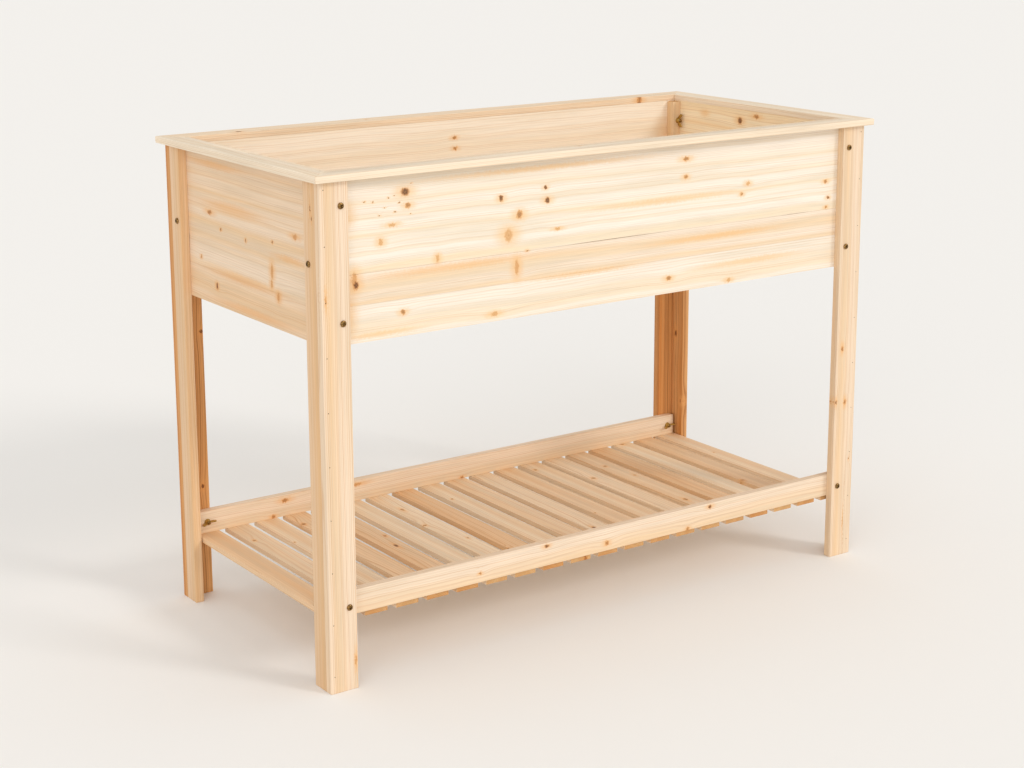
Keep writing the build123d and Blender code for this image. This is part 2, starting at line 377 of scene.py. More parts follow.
    def drawn_out(
        self, cells: tuple[float, float, float], detail: float, roughness: float = 0.5
    ) -> bpy.types.Node:
        """Draw noise out along the grain.

        Args:
            cells: How many cells it has per metre.
            detail: How many finer levels it has.
            roughness: How strong those are.

        Returns:
            The noise.
        """
        stretched = add_node(self.tree, "VectorMath", {0: self.grain, 1: cells}, operation="MULTIPLY")
        return add_node(
            self.tree, "TexNoise",
            {"Vector": stretched.outputs[0], "Scale": 1.0, "Detail": detail, "Roughness": roughness},
        )

    def rings(self, flame: Socket) -> tuple[Socket, Socket]:
        """Draw growth rings round a pith that wanders along the trunk, with a swerve past each knot.

        Args:
            flame: The field of the knots' flames.

        Returns:
            How much latewood there is at each point, and the distance out from the pith.
        """
        tree = self.tree
        wander = self.drawn_out(self.wander_cells, 2.0).outputs["Color"]
        swing = (0.0, self.wander, self.wander)
        drift = add_node(tree, "VectorMath", {0: wander, 1: swing}, operation="MULTIPLY").outputs[0]
        swayed = add_node(
            tree, "VectorMath", {0: self.grain, 1: (0.0, 1.0, 1.0), 2: drift}, operation="MULTIPLY_ADD"
        )
        out = add_node(tree, "VectorMath", {0: swayed.outputs[0]}, operation="LENGTH").outputs["Value"]
        swerve = add_node(
            tree, "MapRange", {0: flame, 1: 0.1, 2: self.flame_reach, 3: self.swerve * MM, 4: 0.0},
            interpolation_type="SMOOTHSTEP",
        )
        bent = add_node(tree, "Math", {0: out, 1: swerve.outputs[0]}, operation="ADD").outputs[0]
        ripple = self.drawn_out(self.ripple_cells, 2.0).outputs[0]
        from_pith = add_node(
            tree, "Math", {0: ripple, 1: self.ripple * MM, 2: bent}, operation="MULTIPLY_ADD"
        ).outputs[0]
        uneven, strength = (
            add_node(tree, "TexNoise", {"W": from_pith, "Scale": cells, "Detail": 1.0}, noise_dimensions="1D")
            for cells in (self.year_cells, self.strength_cells)
        )
        spacing = self.finish.ring_spacing * MM
        even = add_node(tree, "Math", {0: from_pith, 1: spacing}, operation="DIVIDE").outputs[0]
        years = add_node(
            tree, "Math", {0: uneven.outputs[0], 1: self.year_play, 2: even}, operation="MULTIPLY_ADD"
        )
        season = add_node(tree, "Math", {0: years.outputs[0]}, operation="FRACT").outputs[0]
        line = add_node(tree, "ValToRGB", {0: season}, ramp=YEAR_RAMP).outputs["Color"]
        strong = add_node(tree, "MapRange", {0: strength.outputs[0], 1: 0.35, 2: 0.68, 3: 0.15, 4: 1.0})
        late = add_node(tree, "Math", {0: line, 1: strong.outputs[0]}, operation="MULTIPLY")
        return late.outputs[0], from_pith

    def fibre(self) -> Socket:
        """Fine streaks of fibre along the board, as a level about one half."""
        across = 1 / (self.finish.fibre_width * MM)
        return self.drawn_out((1 / (self.finish.fibre_length * MM), across, across), 3.0, 0.6).outputs[0]

    def clear_wood(self, late: Socket, from_pith: Socket, fibre: Socket) -> Socket:
        """Colour the wood clear of knots.

        Args:
            late: How much latewood there is.
            from_pith: The distance out from the pith, because the broad bands follow the rings.
            fibre: The fine streaks.

        Returns:
            The colour.
        """
        tree, finish = self.tree, self.finish
        bands = add_node(
            tree, "TexNoise", {"W": from_pith, "Scale": self.band_cells, "Detail": 2.0}, noise_dimensions="1D"
        )
        streaks = self.drawn_out(self.streak_cells, 3.0)
        colour = linear(finish.earlywood)
        for noise, tint, depth in (
            (bands, finish.honey, finish.band_depth), (streaks, finish.sunken, finish.streak_depth),
        ):
            share = add_node(
                tree, "MapRange", {0: noise.outputs[0], 1: 0.42, 2: 0.68, 3: 0.0, 4: depth},
                interpolation_type="SMOOTHSTEP",
            ).outputs[0]
            colour = add_node(
                tree, "Mix", {MIX_FACTOR: share, MIX_FIRST: colour, MIX_SECOND: linear(tint)}, data_type="RGBA"
            ).outputs[MIX_COLOUR]
        line = add_node(tree, "Math", {0: late, 1: finish.ring_depth}, operation="MULTIPLY").outputs[0]
        colour = add_node(
            tree, "Mix", {MIX_FACTOR: line, MIX_FIRST: colour, MIX_SECOND: linear(finish.latewood)},
            data_type="RGBA",
        ).outputs[MIX_COLOUR]
        silk = add_node(tree, "MapRange", {0: fibre, 1: 0.3, 2: 0.7, 3: 0.9, 4: 1.06}).outputs[0]
        return add_node(
            tree, "Mix", {MIX_FACTOR: 1.0, MIX_FIRST: colour, MIX_SECOND: silk},
            data_type="RGBA", blend_type="MULTIPLY",
        ).outputs[MIX_COLOUR]

    def amber(self, colour: Socket, field: Socket, depth: float) -> Socket:
        """Lay in resin-rich amber wood, round the knots or in a patch.

        Args:
            colour: The colour so far.
            field: The field of the knots' flames or of the patches.
            depth: The share of amber at its middle.

        Returns:
            The colour with the amber in it.
        """
        share = add_node(
            self.tree, "MapRange", {0: field, 1: 0.1, 2: 1.05, 3: depth, 4: 0.0},
            interpolation_type="SMOOTHSTEP",
        ).outputs[0]
        return add_node(
            self.tree, "Mix", {MIX_FACTOR: share, MIX_FIRST: colour, MIX_SECOND: linear(self.finish.amber)},
            data_type="RGBA",
        ).outputs[MIX_COLOUR]

    def heart(self, colour: Socket, kind: KnotKind, field: Socket) -> Socket:
        """Lay the hearts of one kind of knot over the wood round them.

        Args:
            colour: The colour so far.
            kind: The kind of knot.
            field: The field of that kind.

        Returns:
            The colour with those knots in it.
        """
        ramp = {position: linear(shade) for position, shade in KNOT_HEARTS[kind].items()}
        inside = add_node(self.tree, "ValToRGB", {0: field}, ramp=ramp).outputs["Color"]
        cover = add_node(
            self.tree, "MapRange", {0: field, 1: 0.55, 2: 1.25, 3: 0.95, 4: 0.0},
            interpolation_type="SMOOTHSTEP",
        ).outputs[0]
        return add_node(
            self.tree, "Mix", {MIX_FACTOR: cover, MIX_FIRST: colour, MIX_SECOND: inside}, data_type="RGBA"
        ).outputs[MIX_COLOUR]

    def board_tone(self, colour: Socket) -> Socket:
        """Add each board's warmth, partly painted shade on some boards, and the darker wood of sawn ends.

        Args:
            colour: The colour so far.

        Returns:
            The finished colour.
        """
        # warmth: each board's own tone, plus painted shade on boards turned from the key or under the box
        for attribute, tint in (("warmth", "#EABC7A"), ("sawn_end", "#DFC299")):
            amount = add_node(self.tree, "Attribute", {}, attribute_name=attribute).outputs["Fac"]
            colour = add_node(
                self.tree, "Mix", {MIX_FACTOR: amount, MIX_FIRST: colour, MIX_SECOND: linear(tint)},
                data_type="RGBA", blend_type="MULTIPLY",
            ).outputs[MIX_COLOUR]
        return colour

    def surface(self, colour: Socket, late: Socket, fibre: Socket) -> None:
        """End in dull bare wood whose latewood stands a little proud of the earlywood.

        Args:
            colour: The finished colour.
            late: How much latewood there is.
            fibre: The fine streaks.
        """
        tree, rough = self.tree, self.finish.roughness
        height = add_node(tree, "Math", {0: late, 1: 0.5, 2: fibre}, operation="MULTIPLY_ADD").outputs[0]
        bump = add_node(tree, "Bump", {"Strength": 0.35, "Distance": self.proud * MM, "Height": height})
        patchy = add_node(tree, "MapRange", {0: fibre, 3: rough - 0.06, 4: rough + 0.08})
        shader = add_node(tree, "BsdfPrincipled", {
            "Base Color": colour, "Roughness": patchy.outputs[0], "Normal": bump.outputs[0],
            "Specular IOR Level": 0.35,
        })
        add_node(tree, "OutputMaterial", {"Surface": shader.outputs[0]})


@dataclass(frozen=True)
class PlatedSteel:
    """Steel with a thin plated or drawn skin: a metal sheen, clouded and rubbed, with duller patches."""

    name: str
    bright: str
    dull: str
    roughness: float
    cloud_size: float = 2.5       # millimetres
    pitting: float = 0.05         # millimetres

    def build(self) -> Material:
        """Make the material.

        Returns:
            The material.
        """
        material = bare_material(self.name)
        tree = material.node_tree
        place = add_node(tree, "TexCoord", {}).outputs["Object"]
        cloud = add_node(
            tree, "TexNoise",
            {"Vector": place, "Scale": 1 / (self.cloud_size * MM), "Detail": 4.0, "Roughness": 0.6},
        ).outputs[0]
        skin = {0.3: linear(self.dull), 0.65: linear(self.bright)}
        colour = add_node(tree, "ValToRGB", {0: cloud}, ramp=skin)
        rough = add_node(tree, "MapRange", {0: cloud, 3: self.roughness + 0.12, 4: self.roughness - 0.08})
        bump = add_node(tree, "Bump", {"Strength": 0.15, "Distance": self.pitting * MM, "Height": cloud})
        shader = add_node(tree, "BsdfPrincipled", {
            "Base Color": colour.outputs["Color"], "Metallic": 1.0, "Roughness": rough.outputs[0],
            "Normal": bump.outputs[0],
        })
        add_node(tree, "OutputMaterial", {"Surface": shader.outputs[0]})
        return material


@dataclass(frozen=True)
class PaintedFloor:
    """Matt off-white studio floor, plain all over."""

    name: str = "matt_studio_floor"
    colour: str = "#F3F1EE"
    roughness: float = 0.9
    gloss: float = 0.1

    def build(self) -> Material:
        """Make the material.

        Returns:
            The material.
        """
        material = bare_material(self.name)
        shader = add_node(material.node_tree, "BsdfPrincipled", {
            "Base Color": linear(self.colour), "Roughness": self.roughness, "Specular IOR Level": self.gloss,
        })
        add_node(material.node_tree, "OutputMaterial", {"Surface": shader.outputs[0]})
        return material


def report(piece: bpy.types.Object) -> None:
    """Log a finished piece and its size.

    Args:
        piece: The piece.
    """
    faces = len(piece.data.polygons)
    size = ", ".join(f"{length / MM:.1f}" for length in piece.dimensions)
    log.info("%s: %d faces, %s mm", piece.name, faces, size)


def loose_mesh(shape: Shape, name: str = "loose") -> bpy.types.Mesh:
    """Turn a shape into a mesh that no object holds yet.

    Args:
        shape: The shape. It is freed.
        name: The mesh's name.

    Returns:
        The mesh.
    """
    mesh = bpy.data.meshes.new(name)
    shape.to_mesh(mesh)
    shape.free()
    return mesh


def shown(name: str, data: bpy.types.ID) -> bpy.types.Object:
    """Put a mesh, a light or a camera in the scene.

    Args:
        name: The object's name.
        data: What it holds.

    Returns:
        The object.
    """
    holder = bpy.data.objects.new(name, data)
    bpy.context.scene.collection.objects.link(holder)
    return holder


def dress(shape: Shape, name: str, slot: str, material: Material, *nodes: str) -> bpy.types.Object:
    """Turn a finished shape into a piece of the planter.

    Args:
        shape: The shape, in place. It is freed.
        name: The piece's name.
        slot: The record's material slot. It is not used.
        material: Its finish.
        nodes: The design nodes that it stands for.

    Returns:
        The piece.
    """
    mesh = loose_mesh(shape, name)
    mesh.materials.append(material)
    piece = shown(name, mesh)
    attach(piece, ROOT)
    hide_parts(*nodes)
    report(piece)
    return piece


@dataclass(frozen=True)
class Board:
    """One sawn and planed board, with eased arrises, chamfered holes and its own place in the trunk."""

    node: str
    along: Axis
    finish: PlanedSpruce
    slot: str
    # own tone, plus painted shade on boards turned from the key or under the box
    warmth: float = 0.0
    ease: float = 0.8             # millimetres taken off each long arris
    hole_chamfer: float = 0.6
    pith: tuple[float, float] = (12.0, 48.0)    # millimetres from the board's middle, across and through it
    knots: tuple[Knot, ...] = ()
    trunk: tuple[float, float] = (2.0, 30.0)    # metres along the trunk that boards are sawn from
    pith_play: tuple[float, float] = (8.0, 10.0)
    tone_play: float = 0.12       # warmth that a board has more or less than its set
    longest_facet: float = 4.5    # millimetres. A hole's facets are shorter, and arrises are longer
    least_turn: float = 40.0      # degrees. Edges that turn less are left alone

    def blank(self) -> Shape:
        """Take the design's board, with its triangles joined into flat faces.

        Returns:
            The board with sharp edges.
        """
        shape = bmesh.new()
        shape.from_mesh(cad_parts[self.node].data)
        bmesh.ops.remove_doubles(shape, verts=shape.verts, dist=WELD)
        bmesh.ops.dissolve_limit(shape, angle_limit=FLAT, verts=shape.verts, edges=shape.edges)
        return shape

    def ease_arrises(self, shape: Shape) -> None:
        """Take the sharpness off the board's edges and off the mouths of its holes.

        Args:
            shape: The board.
        """
        facet = self.longest_facet * MM
        least = math.radians(self.least_turn)
        sharp = [
            edge for edge in shape.edges
            if len(edge.link_faces) == 2 and edge.is_convex and edge.calc_face_angle() > least
        ]
        mouths = [edge for edge in sharp if edge.calc_length() < facet]
        arrises = [edge for edge in sharp if edge.calc_length() >= facet]
        for edges, width, segments in ((mouths, self.hole_chamfer, 1), (arrises, self.ease, 2)):
            kept = [edge for edge in edges if edge.is_valid]
            if kept and width:
                bmesh.ops.bevel(
                    shape, geom=kept, offset=width * MM, offset_type="OFFSET", segments=segments, profile=0.5,
                    affect="EDGES", clamp_overlap=True, material=-1,
                )

    def shaped(self) -> Shape:
        """Shape the board.

        Returns:
            The eased board, without its grain.
        """
        shape = self.blank()
        self.ease_arrises(shape)
        return shape

    def order(self) -> tuple[int, int, int]:
        """Find how the board lies.

        Returns:
            Which of X, Y and Z run along the grain, across the board's width and through its thickness.
        """
        low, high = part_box(self.node)
        others = [axis for axis in range(3) if axis != self.along.value]
        others.sort(key=lambda axis: high[axis] - low[axis], reverse=True)
        return self.along.value, others[0], others[1]

    def shift(self) -> Vector:
        """Find where the board was sawn from the trunk.

        Returns:
            What the grain coordinates add to a place in the planter, so that the pith is where it should be.
        """
        low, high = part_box(self.node)
        _, across, through = self.order()
        draw = random.Random(self.node)
        side = draw.choice((-1, 1))
        play_across, play_through = self.pith_play
        middle = (low + high) / 2
        return Vector((
            draw.uniform(*self.trunk),
            self.pith[0] * MM + draw.uniform(-play_across, play_across) * MM - middle[across],
            side * (self.pith[1] + draw.uniform(-play_through, play_through)) * MM - middle[through],
        ))

    def lay_grain(self, shape: Shape) -> None:
        """Give every point its place in the trunk, and mark the sawn ends.

        Args:
            shape: The finished board.
        """
        grain = shape.verts.layers.float_vector.new("grain")
        warmth = shape.verts.layers.float.new("warmth")
        sawn_end = shape.faces.layers.float.new("sawn_end")
        order = self.order()
        shift = self.shift()
        tone = self.warmth + random.Random(self.node + "tone").uniform(-self.tone_play, self.tone_play)
        end_on = 0.9
        for vert in shape.verts:
            vert[grain] = Vector([vert.co[axis] for axis in order]) + shift
            vert[warmth] = min(max(tone, 0.0), 1.0)
        for face in shape.faces:
            face[sawn_end] = float(abs(face.normal[self.along.value]) > end_on)

    def build(self, shared: Material | None = None) -> bpy.types.Object:
        """Make the board.

        Args:
            shared: A finish shared with other boards, or nothing for one of its own with its own knots.

        Returns:
            The piece.
        """
        shape = self.shaped()
        self.lay_grain(shape)
        material = shared or self.finish.build(self.knots, self.shift())
        return dress(shape, f"timber_{self.node}", self.slot, material, self.node)


@dataclass(frozen=True)
class OpenJoint:
    """A stretch of a glued joint that has opened as the panel dried, in millimetres along the wall."""

    start: float
    end: float
    gap: float

    def lift(self, along: float) -> float:
        """Find half the joint's opening.

        Args:
            along: The place along the wall, in millimetres.

        Returns:
            Half the opening there, in millimetres.
        """
        if not self.start < along < self.end:
            return 0.0
        return self.gap / 2 * math.sin(math.pi * (along - self.start) / (self.end - self.start))


@dataclass(frozen=True)
class GluedWall(Board):
    """A wall panel, edge-glued from three staves with a hairline at each joint."""

    joints: tuple[float, ...] = (63.0, 115.0)    # millimetres above the wall's lower edge
    open_joints: tuple[OpenJoint, ...] = ()
    stave_tones: tuple[float, ...] = (0.05, 0.2, 0.0)
    stave_depth: float = 0.25     # metres further from the pith for each unit of a stave's tone
    lift_steps: int = 8           # straight lengths that an open joint's curve is made of

    def stave(self, low: float, high: float) -> Shape:
        """Cut one stave from the panel, between two levels.

        Args:
            low: Its lower edge, in metres.
            high: Its upper edge.

        Returns:
            The stave, closed.
        """
        shape = self.blank()
        for level, way in ((low, -1), (high, 1)):
            cut = bmesh.ops.bisect_plane(
                shape, geom=shape.verts[:] + shape.edges[:] + shape.faces[:], dist=WELD,
                plane_co=(0, 0, level), plane_no=(0, 0, way), clear_outer=True,
            )
            edges = [item for item in cut["geom_cut"] if isinstance(item, bmesh.types.BMEdge)]
            rim = [edge for edge in edges if edge.is_boundary]
            if rim:
                bmesh.ops.contextual_create(shape, geom=rim)
        return shape

    def open_up(self, shape: Shape, level: float) -> None:
        """Draw a stave back from the joint where the glue has let go.

        Args:
            shape: The stave.
            level: The joint's level, in metres.
        """
        for joint in self.open_joints:
            for step in range(self.lift_steps + 1):
                along = joint.start + (joint.end - joint.start) * step / self.lift_steps
                bmesh.ops.bisect_plane(
                    shape, geom=shape.verts[:] + shape.edges[:] + shape.faces[:], dist=WELD,
                    plane_co=(along * MM, 0, 0), plane_no=(1, 0, 0),
                )
            for vert in shape.verts:
                if abs(vert.co.z - level) < WELD:
                    vert.co.z += joint.lift(vert.co.x / MM) * MM

    def shaped(self) -> Shape:
        """Build the panel up from its staves.

        Returns:
            The panel, with its stave's tone on each point.
        """
        bottom, top = (corner.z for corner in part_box(self.node))
        levels = [bottom, *(bottom + joint * MM for joint in self.joints), top]
        panel = bmesh.new()
        stave_tone = panel.verts.layers.float.new("stave_tone")
        for number, (low, high) in enumerate(zip(levels, levels[1:])):
            stave = self.stave(low, high)
            if number == len(self.joints):
                self.open_up(stave, low)
            self.ease_arrises(stave)
            mesh = loose_mesh(stave)
            first = len(panel.verts)
            panel.from_mesh(mesh)
            bpy.data.meshes.remove(mesh)
            panel.verts.ensure_lookup_table()
            for vert in panel.verts[first:]:
                vert[stave_tone] = self.stave_tones[number]
        return panel

    def lay_grain(self, shape: Shape) -> None:
        """Give each stave its own warmth and depth in the trunk, so that the grain breaks at the joints.

        Args:
            shape: The finished panel.
        """
        super().lay_grain(shape)
        grain = shape.verts.layers.float_vector["grain"]
        warmth = shape.verts.layers.float["warmth"]
        stave_tone = shape.verts.layers.float["stave_tone"]
        for vert in shape.verts:
            vert[warmth] = min(max(vert[warmth] + vert[stave_tone], 0.0), 1.0)
            deeper = math.copysign(vert[stave_tone] * self.stave_depth, vert[grain].z)
            vert[grain] = vert[grain] + Vector((0.0, 0.0, deeper))
        shape.verts.layers.float.remove(stave_tone)


def islands(node: str) -> list[tuple[Vector, Vector]]:
    """Find the boxes of a design node's separate solids.

    Args:
        node: The node's name.

    Returns:
        The lowest and highest corner of each, in order along X, then Y, then Z.
    """
    shape = bmesh.new()
    shape.from_mesh(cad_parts[node].data)
    bmesh.ops.remove_doubles(shape, verts=shape.verts, dist=WELD)
    unseen = set(shape.verts)
    boxes = []
    while unseen:
        front = [unseen.pop()]
        low, high = front[0].co.copy(), front[0].co.copy()
        while front:
            vert = front.pop()
            low = Vector(map(min, low, vert.co))
            high = Vector(map(max, high, vert.co))
            for edge in vert.link_edges:
                other = edge.other_vert(vert)
                if other in unseen:
                    unseen.remove(other)
                    front.append(other)
        boxes.append((low, high))
    shape.free()
    return sorted(boxes, key=lambda box: tuple(round(value, 4) for value in box[0]))


def turned(outline: Outline, closed: bool, facets: int) -> Shape:
    """Turn an outline round the Z axis.

    Args:
        outline: The outline.
        closed: Whether it is a ring, as for a washer, rather than a line that starts and ends on the axis.
        facets: How many facets go round.

    Returns:
        The closed shape.
    """
    shape = bmesh.new()
    verts = [shape.verts.new((radius * MM, 0.0, height * MM)) for radius, height in outline]
    pairs = list(zip(verts, verts[1:])) + ([(verts[-1], verts[0])] if closed else [])
    edges = [shape.edges.new(pair) for pair in pairs]
    bmesh.ops.spin(
        shape, geom=verts + edges, cent=(0, 0, 0), axis=UP, angle=math.tau, steps=facets, use_merge=True,
    )
    bmesh.ops.remove_doubles(shape, verts=shape.verts, dist=WELD)
    bmesh.ops.recalc_face_normals(shape, faces=shape.faces)
    return shape


def cutter(half_x: float, half_y: float, bottom: float, top: float, taper: float = 1.0) -> Shape:
    """Make a block round the Z axis that cuts a slot, in millimetres.

    Args:
        half_x: Half its length along X.
        half_y: Half its length along Y.
        bottom: Its lower face.
        top: Its upper face, which is the slot's floor.
        taper: How wide it is at the upper face, as a share of the lower.

    Returns:
        The block.
    """
    shape = bmesh.new()
    place = Matrix.Translation((0, 0, (top + bottom) / 2 * MM))
    size = Matrix.Diagonal((2 * half_x * MM, 2 * half_y * MM, (top - bottom) * MM, 1.0))
    bmesh.ops.create_cube(shape, size=1.0, matrix=place @ size)
    floor = [vert for vert in shape.verts if vert.co.z > (top + bottom) / 2 * MM]
    bmesh.ops.scale(shape, verts=floor, vec=(taper, taper, 1.0))
    return shape


def joined(body: Shape, other: Shape, operation: str) -> Shape:
    """Unite two closed shapes, or cut one from the other.

    Args:
        body: The shape that is kept. It is freed.
        other: The shape added or taken away. It is freed.
        operation: UNION or DIFFERENCE.

    Returns:
        The new shape.
    """
    holders = [shown("loose", loose_mesh(shape)) for shape in (body, other)]
    modifier = holders[0].modifiers.new("cut", "BOOLEAN")
    modifier.operation = operation
    modifier.solver = "EXACT"
    modifier.object = holders[1]
    result = bpy.data.meshes.new_from_object(holders[0].evaluated_get(bpy.context.evaluated_depsgraph_get()))
    shape = bmesh.new()
    shape.from_mesh(result)
    for mesh in [result, *(holder.data for holder in holders)]:
        bpy.data.meshes.remove(mesh)
    return shape


def crossed(
    body: Shape, half_length: float, half_width: float, bottom: float, top: float, taper: float
) -> Shape:
    """Cut a cross recess in a head.

    Args:
        body: The fastener. It is freed.
        half_length: Half the length of each slot, in millimetres.
        half_width: Half its width.
        bottom: Where the cutters start, clear above the head.
        top: The recess's floor.
        taper: How wide the floor is, as a share of the mouth.

    Returns:
        The fastener with its recess.
    """
    for half_x, half_y in ((half_length, half_width), (half_width, half_length)):
        body = joined(body, cutter(half_x, half_y, bottom, top, taper), "DIFFERENCE")
    return body


def threaded(first: float, last: float, crest: float, root: float, pitch: float) -> Outline:
    """Outline a thread, as ridges one pitch apart.

    Args:
        first: Where the thread starts, in millimetres along the shank.
        last: Where it ends.
        crest: Its outer radius.
        root: Its inner radius.
        pitch: From one ridge to the next.

    Returns:
        The outline.
    """
    rise, fall = 0.4 * pitch, 0.6 * pitch
    outline = []
    for ridge in range(int((last - first) / pitch)):
        start = first + ridge * pitch
        outline += [(root, start), (crest, start + rise), (crest, start + fall)]
    return outline


@dataclass
class Fasteners:
    """A set of like fasteners, one modelled and the rest set in the design's places."""

    node: str
    name: str
    slot: str
    material: Material
    head_end: HeadEnd = HeadEnd.OUTSIDE
    head_height: float = 0.0      # millimetres that stand proud of the wood
    slack_turn: float = 180.0     # degrees each way that a fastener may have stopped turning at
    smoothest: float = 32.0       # degrees between faces that are still shaded as one

    def length(self) -> float:
        """How long each one is with its head, in millimetres. All of one set are alike."""
        low, high = islands(self.node)[0]
        return max(high - low) / MM

    def seats(self) -> list[Matrix]:
        """Find where each fastener meets the wood.

        Returns:
            A placement for each, with Z into the wood along the fastener and X upright or to the rear.
        """
        found = []
        for low, high in islands(self.node):
            size = high - low
            axis = max(range(3), key=lambda way: size[way])
            found.append(self.seat((low + high) / 2, axis, size[axis] / 2))
        return found

    def seat(self, middle: Vector, axis: int, half: float) -> Matrix:
        """Find the placement of one fastener.

        Args:
            middle: The middle of its box.
            axis: Which of X, Y and Z it lies along.
            half: Half its length.

        Returns:
            The placement.
        """
        side = {
            HeadEnd.OUTSIDE: math.copysign(1, middle[axis]),
            HeadEnd.INSIDE: -math.copysign(1, middle[axis]),
            HeadEnd.TOP: 1,
            HeadEnd.UNDERSIDE: -1,
        }[self.head_end]
        inward = Vector([0.0, 0.0, 0.0])
        inward[axis] = -side
        upright = UP if axis != Axis.Z.value else Vector((0, 1, 0))
        origin = middle - inward * (half - self.head_height * MM)
        turn = Matrix((upright, inward.cross(upright), inward)).transposed().to_4x4()
        return Matrix.Translation(origin) @ turn

    def place(self, pattern: Shape, seats: list[Matrix]) -> bpy.types.Object:
        """Set a copy of the pattern on every seat.

        Args:
            pattern: One fastener on its own axis. It is freed.
            seats: Where the copies go.

        Returns:
            The piece.
        """
        master = loose_mesh(pattern)
        group = bmesh.new()
        draw = random.Random(self.node)
        for seat in seats:
            first = len(group.verts)
            group.from_mesh(master)
            group.verts.ensure_lookup_table()
            spin = Matrix.Rotation(math.radians(draw.uniform(-self.slack_turn, self.slack_turn)), 4, "Z")
            bmesh.ops.transform(group, matrix=seat @ spin, verts=group.verts[first:])
        bpy.data.meshes.remove(master)
        piece = dress(group, self.name, self.slot, self.material, self.node)
        piece.data.shade_smooth()
        piece.data.set_sharp_from_angle(angle=math.radians(self.smoothest))
        return piece


@dataclass
class PanHeadBolts(Fasteners):
    """Pan-head bolts with a cross recess and a thread at the tip."""

    head_height: float = 3.4
    head_radius: float = 5.5
    shank_radius: float = 3.0
    thread_length: float = 22.0
    thread_depth: float = 0.45
    pitch: float = 1.0
    recess_span: float = 7.4
    recess_width: float = 1.9
    recess_depth: float = 2.4
    recess_taper: float = 0.7

    def build(self) -> bpy.types.Object:
        """Make the bolts.

        Returns:
            The piece.
        """
        top, edge, shank = -self.head_height, self.head_radius, self.shank_radius
        tip = self.length() - self.head_height
        root = shank - self.thread_depth
        outline = [
            (0, top), (edge * 0.35, top + 0.06), (edge * 0.62, top + 0.3), (edge * 0.84, top + 0.85),
            (edge * 0.96, top + 1.6), (edge, top + 2.4), (edge * 0.985, -0.25), (edge * 0.94, 0), (shank, 0),
            (shank, tip - self.thread_length),
        ]
        outline += threaded(tip - self.thread_length, tip - self.pitch, shank, root, self.pitch)
        outline += [(root, tip - self.pitch), (root - self.thread_depth, tip), (0, tip)]
        body = turned(outline, closed=False, facets=28)
        span, width, floor = self.recess_span / 2, self.recess_width / 2, top + self.recess_depth
        body = crossed(body, span, width, top - 1, floor, self.recess_taper)
        return self.place(body, self.seats())


@dataclass
class Nails(Fasteners):
    """Round wire nails, driven a little below the surface."""

    radius: float = 1.2
    shank_share: float = 0.78     # of the head's radius
    sunk: float = 0.35
    point: float = 2.6

    def build(self) -> bpy.types.Object:
        """Make the nails.

        Returns:
            The piece.
        """
        length = self.length()
        head, shank, sunk = self.radius, self.radius * self.shank_share, self.sunk
        outline = [
            (0, sunk - 0.12), (head * 0.6, sunk - 0.08), (head * 0.97, sunk + 0.05), (head * 0.97, sunk + 0.7),
            (shank, sunk + 1.4), (shank, length - self.point), (0, length),
        ]
        return self.place(turned(outline, closed=False, facets=14), self.seats())


@dataclass
class WoodScrews(Fasteners):
    """Countersunk wood screws with a cross recess."""

    head_radius: float = 3.6
    head_depth: float = 2.2
    crest: float = 1.7
    root: float = 1.2
    pitch: float = 1.7
    point: float = 2.0
    recess_span: float = 3.8
    recess_width: float = 0.84
    recess_depth: float = 1.3

    def build(self) -> bpy.types.Object:
        """Make the screws.

        Returns:
            The piece.
        """
        length, head, root = self.length(), self.head_radius, self.root
        outline = [(0, 0.08), (head * 0.9, 0.04), (head * 0.98, 0.25), (root, self.head_depth)]
        outline += threaded(self.head_depth + 0.8, length - self.point, self.crest, root, self.pitch)
        outline += [(root, length - self.point), (0, length)]
        body = turned(outline, closed=False, facets=18)
        body = crossed(body, self.recess_span / 2, self.recess_width / 2, -1.0, self.recess_depth, 1.0)
        return self.place(body, self.seats())


@dataclass
class Washers(Fasteners):
    """Flat stamped washers, each on a bolt."""

    outer: float = 6.2
    bore: float = 3.4
    thickness: float = 1.2
    burr: float = 0.25
    roll: float = 0.1             # millimetres that the stamp rounds the other face's edges

    def build(self, seats: list[Matrix]) -> bpy.types.Object:
        """Make the washers.

        Args:
            seats: Where each meets the wood.

        Returns:
            The piece.
        """
        out, bore, thick, burr, roll = self.outer, self.bore, self.thickness, self.burr, self.roll
        outline = [
            (bore, roll), (bore + roll, 0), (out - roll, 0), (out, roll), (out, thick - burr),
            (out - burr, thick), (bore + burr, thick), (bore, thick - burr),
        ]
        return self.place(turned(outline, closed=True, facets=28), seats)


